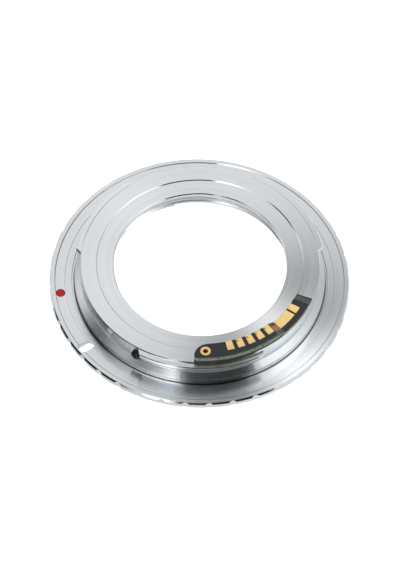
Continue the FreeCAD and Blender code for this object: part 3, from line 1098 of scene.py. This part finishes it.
def chrome():
    """Bright plating over a turned surface, whose fine marks run round the axis, with painted shade in the
    foot of the groove.
    """
    material, tree = new_material("turned_chrome", 1.0)
    vector = place_mm(tree)
    z = split(tree, vector)["Z"]
    r = axis_distance(tree, vector)
    section = tree.nodes.new("ShaderNodeCombineXYZ")
    feed(tree, section, {"X": r, "Y": z})
    turning = grain(tree, section.outputs["Vector"], 3.2, 2.0, 0.6)
    sweep = grain(tree, section.outputs["Vector"], 0.7, 1.0)
    bloom = grain(tree, vector, 0.09, 2.0)
    plated = mixed(tree, fade(tree, turning, 0.36, 0.64), PLATING_DARK, PLATING_LIGHT)
    plated = mixed(tree, fade(tree, bloom, 0.35, 0.7, 0.0, 0.06), plated, PLATING_BLOOM)

    # Painted shade in the foot of the groove, near black
    deep = fade(tree, z, GROOVE_FLOOR + 0.1, LAND_HEIGHT, GROOVE_SHADE_SHARE, 0.0)
    inner = fade(tree, r, COLLAR_R - 0.1, COLLAR_R - 0.02)
    outer = fade(tree, r, COLLAR_R + 0.12, COLLAR_R + 0.34, 1.0, 0.0)
    groove_shade = maths(tree, "MULTIPLY", deep, maths(tree, "MULTIPLY", inner, outer))
    colour = mixed(tree, groove_shade, plated, GROOVE_SHADE)

    # Bevels and the slopes of steps were cut brighter; the cone wasn't
    tilt = split(tree, tree.nodes.new("ShaderNodeTexCoord").outputs["Normal"])["Z"]
    slope = maths(tree, "MULTIPLY", fade(tree, tilt, 0.25, 0.40), fade(tree, tilt, 0.86, 0.94, 1.0, 0.0))
    below = fade(tree, z, COLLAR_HEIGHT - 0.15, COLLAR_HEIGHT - 0.05, 1.0, 0.0)
    above = fade(tree, z, CONE_HEIGHT + 0.05, CONE_HEIGHT + 0.15)
    off_cone = maths(tree, "MAXIMUM", below, above)
    bright_cut = maths(tree, "MULTIPLY", maths(tree, "MULTIPLY", slope, off_cone), BRIGHT_CUT)
    worked = fade(tree, sweep, 0.3, 0.7, 0.19, 0.21)
    tangent = tree.nodes.new("ShaderNodeTangent")
    tangent.direction_type = "RADIAL"
    tangent.axis = "Z"
    feed(tree, tree.nodes["Principled BSDF"], {"Anisotropic": ANISOTROPY, "Anisotropic Rotation": 0.25,
                                               "Tangent": tangent.outputs["Tangent"]})
    roughness = maths(tree, "SUBTRACT", worked, bright_cut)
    return finished(material, colour, turning, 0.0007, roughness)


def enamel():
    """Poured red enamel, with painted shade darkening its rim against the wall of its pocket."""
    material, tree = new_material("red_enamel", 0.0, 0.16, 0.2)
    vector = place_mm(tree)
    off = axis_distance(tree, vector, polar(DOT_R, DOT_ANGLE))
    cloud = grain(tree, vector, 2.0, 3.0)
    body = mixed(tree, fade(tree, cloud, 0.35, 0.65), (0.62, 0.008, 0.007), (0.74, 0.022, 0.015))
    # Painted shade: the enamel darkens towards its rim
    rim = fade(tree, off, DOT_D / 2.0 - 0.22, DOT_D / 2.0 - 0.02)
    return finished(material, mixed(tree, rim, body, (0.16, 0.003, 0.004)), cloud, 0.02)


def oxide():
    """Black oxide on steel, rubbed a little brighter in patches."""
    material, tree = new_material("black_oxide", 0.6)
    vector = place_mm(tree)
    patches = grain(tree, vector, 2.2, 4.0, 0.65)
    pits = grain(tree, vector, 9.0, 2.0)
    rubbed = fade(tree, patches, 0.55, 0.78, 0.0, 0.7)
    colour = mixed(tree, rubbed, (0.010, 0.010, 0.011), (0.075, 0.078, 0.082))
    return finished(material, colour, pits, 0.012, fade(tree, patches, 0.3, 0.7, 0.5, 0.28))


def solder_mask():
    """Satin black mask, with faint cloudiness, dust and the orange peel of its printing."""
    material, tree = new_material("solder_mask", 0.0, 0.42)
    vector = place_mm(tree)
    cloud = grain(tree, vector, 0.8, 3.0)
    dust = grain(tree, vector, 5.5, 2.0, 0.6)
    colour = mixed(tree, fade(tree, cloud, 0.3, 0.7), (0.0075, 0.0090, 0.0110), (0.0130, 0.0145, 0.0165))
    colour = mixed(tree, fade(tree, dust, 0.66, 0.76, 0.0, 0.35), colour, (0.11, 0.12, 0.12))
    return finished(material, colour, dust, 0.006, fade(tree, cloud, 0.3, 0.7, 0.36, 0.48))


def laminate():
    """Sanded edge of the glass laminate: green resin and pale speckled glass, darker on the lower layer and
    with a painted shadow along the bottom.
    """
    material, tree = new_material("sanded_laminate", 0.0, 0.6, 0.3)
    vector = place_mm(tree)
    parts = split(tree, vector)
    z = parts["Z"]
    stretch = tree.nodes.new("ShaderNodeMapping")
    feed(tree, stretch, {"Vector": vector, "Scale": (1.0, 1.0, 1.9)})
    speckle = grain(tree, stretch.outputs["Vector"], 2.9, 3.0, 0.65)
    drift = grain(tree, vector, 0.9, 2.0)
    waver = maths(tree, "MULTIPLY", maths(tree, "SUBTRACT", drift, 0.5), 0.25)
    height = maths(tree, "ADD", z, waver)
    glass = mixed(tree, fade(tree, speckle, 0.44, 0.56), (0.050, 0.085, 0.062), (0.54, 0.54, 0.43))
    green = mixed(tree, fade(tree, speckle, 0.38, 0.66), (0.050, 0.120, 0.090), (0.160, 0.265, 0.205))
    colour = mixed(tree, fade(tree, height, UPPER_TOP - 0.36, UPPER_TOP - 0.16), glass, green)
    lower = mixed(tree, fade(tree, speckle, 0.35, 0.65), (0.030, 0.036, 0.028), (0.17, 0.17, 0.12))
    dark = fade(tree, height, BASE_TOP - 0.12, BASE_TOP + 0.05, 1.0, 0.0)
    colour = mixed(tree, dark, colour, lower)
    # Painted shadow along the bottom of the edge, where the board sits over the ring
    shadow = fade(tree, height, BOARD_FLOOR + 0.02, BOARD_FLOOR + 0.30, 1.0, 0.0)
    colour = mixed(tree, shadow, colour, (0.006, 0.006, 0.005))
    turn = maths(tree, "ARCTAN2", parts["Y"], parts["X"])
    step_end = math.radians(STEP_FOOT_ANGLE - 361.0)
    past_step = fade(tree, turn, step_end - STEP_END_BLEND, step_end + STEP_END_BLEND)
    # Past the step the edge turns to pale bare laminate above a thin band of the painted shadow
    bare = mixed(tree, fade(tree, speckle, 0.38, 0.62), (0.20, 0.19, 0.14), (0.62, 0.60, 0.50))
    stripe = fade(tree, height, BOARD_FLOOR + 0.02, BOARD_FLOOR + 0.2)
    colour = mixed(tree, maths(tree, "MULTIPLY", past_step, stripe), colour, bare)
    return finished(material, colour, speckle, 0.02)


def ramp_laminate():
    """Laminate laid bare on the ramps, where the sanding cut through mask and glass, with a painted shadow
    at the tail ramp's foot.
    """
    material, tree = new_material("ramp_laminate", 0.0, 0.5, 0.35)
    vector = place_mm(tree)
    z = split(tree, vector)["Z"]
    speckle = grain(tree, vector, 3.2, 3.0, 0.6)
    cloud = grain(tree, vector, 1.1, 2.0)
    colour = mixed(tree, fade(tree, speckle, 0.35, 0.68), (0.040, 0.066, 0.054), (0.110, 0.150, 0.125))
    colour = mixed(tree, fade(tree, cloud, 0.5, 0.8, 0.0, 0.5), colour, (0.13, 0.125, 0.08))
    # Painted shadow where the tail's ramp comes down near the ring's face
    foot_shadow = fade(tree, z, BOARD_FLOOR + 0.16, BOARD_FLOOR + 0.3, 1.0, 0.0)
    colour = mixed(tree, foot_shadow, colour, (0.012, 0.020, 0.016))
    return finished(material, colour, speckle, 0.015)


def resin():
    """Cured bond or film at an edge: dull beige with darker dirt."""
    material, tree = new_material("edge_resin", 0.0, 0.6)
    vector = place_mm(tree)
    dirt = grain(tree, vector, 2.4, 3.0, 0.6)
    colour = mixed(tree, fade(tree, dirt, 0.35, 0.68), (0.44, 0.43, 0.34), (0.20, 0.20, 0.15))
    return finished(material, colour, dirt, 0.01)


def gold():
    """Satin gold over copper, smudged orange round the filled holes."""
    material, tree = new_material("satin_gold", 1.0)
    vector = place_mm(tree)
    cloud = grain(tree, vector, 1.3, 3.0)
    fine = grain(tree, vector, 6.0, 2.0)
    colour = mixed(tree, fade(tree, cloud, 0.32, 0.7), (0.95, 0.70, 0.30), (0.90, 0.65, 0.265))
    smudge = None
    for angle in VIA_ANGLES:
        off = axis_distance(tree, vector, polar(VIA_R + 0.18, angle))
        mark = fade(tree, off, 0.12, 0.5, 0.75, 0.0)
        smudge = mark if smudge is None else maths(tree, "MAXIMUM", smudge, mark)
    smudge = maths(tree, "MULTIPLY", smudge, fade(tree, fine, 0.3, 0.65, 0.35, 1.0))
    colour = mixed(tree, smudge, colour, (0.42, 0.17, 0.06))
    return finished(material, colour, fine, 0.006, fade(tree, cloud, 0.3, 0.7, 0.30, 0.44))


def barrel_copper():
    """Tarnished plating down the eyelet's hole."""
    material, tree = new_material("barrel_copper", 0.3, 0.45)
    vector = place_mm(tree)
    tarnish = grain(tree, vector, 3.5, 3.0)
    colour = mixed(tree, fade(tree, tarnish, 0.3, 0.7), (0.60, 0.20, 0.03), (0.36, 0.09, 0.01))
    return finished(material, colour)


def sanded_copper():
    """Copper laid bare on the ramp, with soft dirty ends where the sanding ran out."""
    material, tree = new_material("sanded_copper", 0.7)
    vector = place_mm(tree)
    z = split(tree, vector)["Z"]
    streaks = grain(tree, vector, 2.4, 3.0, 0.6)
    colour = mixed(tree, fade(tree, streaks, 0.3, 0.7), (0.72, 0.27, 0.17), (0.54, 0.18, 0.11))
    r = axis_distance(tree, vector)
    waver = maths(tree, "ADD", r, maths(tree, "MULTIPLY", maths(tree, "SUBTRACT", streaks, 0.5), 0.7))
    worn = maths(tree, "MAXIMUM", fade(tree, waver, 25.25, 25.85), fade(tree, waver, 23.95, 24.2, 1.0, 0.0))
    foot = fade(tree, z, UPPER_FLOOR + 0.12, UPPER_FLOOR + 0.32, 0.45, 0.0)
    colour = mixed(tree, maths(tree, "MAXIMUM", worn, foot), colour, (0.115, 0.115, 0.075))
    return finished(material, colour, streaks, 0.012, fade(tree, streaks, 0.3, 0.7, 0.36, 0.52))


def moulded(name, dark, light, lumps):
    """Matt moulded or fired body of a part that the board hides."""
    material, tree = new_material(name, 0.0, 0.6)
    vector = place_mm(tree)
    body = grain(tree, vector, lumps, 3.0)
    return finished(material, mixed(tree, fade(tree, body, 0.3, 0.7), dark, light), body, 0.008)


def dress(obj, materials, choose=None):
    """Give a piece its materials; choose picks one for a face from its middle and normal."""
    obj.data.materials.clear()
    for material in materials:
        obj.data.materials.append(material)
    if choose:
        for face in obj.data.polygons:
            face.material_index = choose(face.center / MM, face.normal)


def angle_of(point):
    return math.degrees(math.atan2(point.y, point.x)) % 360.0


def base_layer_part(point, normal):
    """0 for mask, 1 for a cut edge, 2 for the ramp at the tail."""
    if normal.z > 0.9 and point.z > BOARD_FLOOR + 0.1:
        return 2 if angle_of(point) > TAIL_TOP_ANGLE + 0.05 else 0
    return 1


def upper_layer_part(point, normal):
    """0 for mask, 1 for a cut edge, 2 for the ramp down to the lower layer."""
    if normal.z > 0.97:
        return 0
    if normal.z > 0.8 and angle_of(point) > STEP_TOP_ANGLE:
        return 2
    return 1


def eyelet_part(point, normal):
    """0 for the plated ring, 1 for the hole."""
    middle = polar(EYELET_R, EYELET_ANGLE)
    off = math.hypot(point.x - middle.x, point.y - middle.y)
    return 1 if off < EYELET_HOLE_D / 2.0 + 0.02 else 0


def floor():
    """Plain white table that keeps the shadow; the camera and the metal see it near white."""
    bm = bmesh.new()
    bmesh.ops.create_grid(bm, x_segments=1, y_segments=1, size=FLOOR_SIZE)
    bmesh.ops.translate(bm, vec=(0.0, 0.0, -FLOOR_GAP), verts=bm.verts)
    obj = new_object("floor", bm)
    material, tree = new_material("white_floor", 0.0, 0.9, 0.0)
    shader = tree.nodes["Principled BSDF"]
    shader.inputs["Base Color"].default_value = (0.9, 0.9, 0.9, 1.0)
    path = tree.nodes.new("ShaderNodeLightPath")
    seen = maths(tree, "MULTIPLY", path.outputs["Is Camera Ray"], FLOOR_GLOW_SEEN)
    mirrored = maths(tree, "MAXIMUM", path.outputs["Is Glossy Ray"], path.outputs["Is Transmission Ray"])
    mirrored = maths(tree, "MULTIPLY", mirrored, FLOOR_GLOW_MIRRORED)
    emission = tree.nodes.new("ShaderNodeEmission")
    tree.links.new(maths(tree, "ADD", seen, mirrored), emission.inputs["Strength"])
    total = tree.nodes.new("ShaderNodeAddShader")
    feed(tree, total, {0: shader.outputs[0], 1: emission.outputs[0]})
    tree.links.new(total.outputs[0], tree.nodes["Material Output"].inputs["Surface"])
    obj.data.materials.append(material)


def world():
    scene_world = bpy.data.worlds.new("studio")
    bpy.context.scene.world = scene_world
    scene_world.use_nodes = True
    tree = scene_world.node_tree
    feed(tree, tree.nodes["Background"], {"Color": (1.0, 1.0, 1.0, 1.0), "Strength": 0.9})


place_camera()
turned_metal = chrome()
mask = solder_mask()
cut_edge = laminate()
ramp = ramp_laminate()
plating = gold()
dress(adapter_ring(), [turned_metal])
dress(thread_ridge(), [turned_metal])
dress(index_dot(), [enamel()])
dress(stop_screw(), [oxide()])
dress(base_board(), [mask, cut_edge, ramp], base_layer_part)
dress(upper_board(), [mask, cut_edge, ramp], upper_layer_part)
dress(bond_line(), [resin()])
for contact in pads():
    dress(contact, [plating])
dress(eyelet(), [plating, barrel_copper()], eyelet_part)
dress(copper_strip(), [sanded_copper()])
dress(pad_vias(), [barrel_copper()])

# Pieces inside the board keep the form that they have in the frame
film = moulded("film", (0.30, 0.29, 0.23), (0.46, 0.44, 0.36), 1.5)
epoxy = moulded("epoxy", (0.012, 0.012, 0.013), (0.028, 0.028, 0.030), 4.0)
ceramic = moulded("ceramic", (0.30, 0.19, 0.10), (0.46, 0.32, 0.19), 5.0)
dress(bpy.data.objects["adhesive_film"], [film])
dress(bpy.data.objects["controller_chip"], [epoxy])
dress(bpy.data.objects["decoupling_capacitor"], [ceramic])
dress(bpy.data.objects["series_resistor"], [ceramic])
floor()
light_tent()
world()

bpy.context.scene.view_settings.view_transform = "Standard"
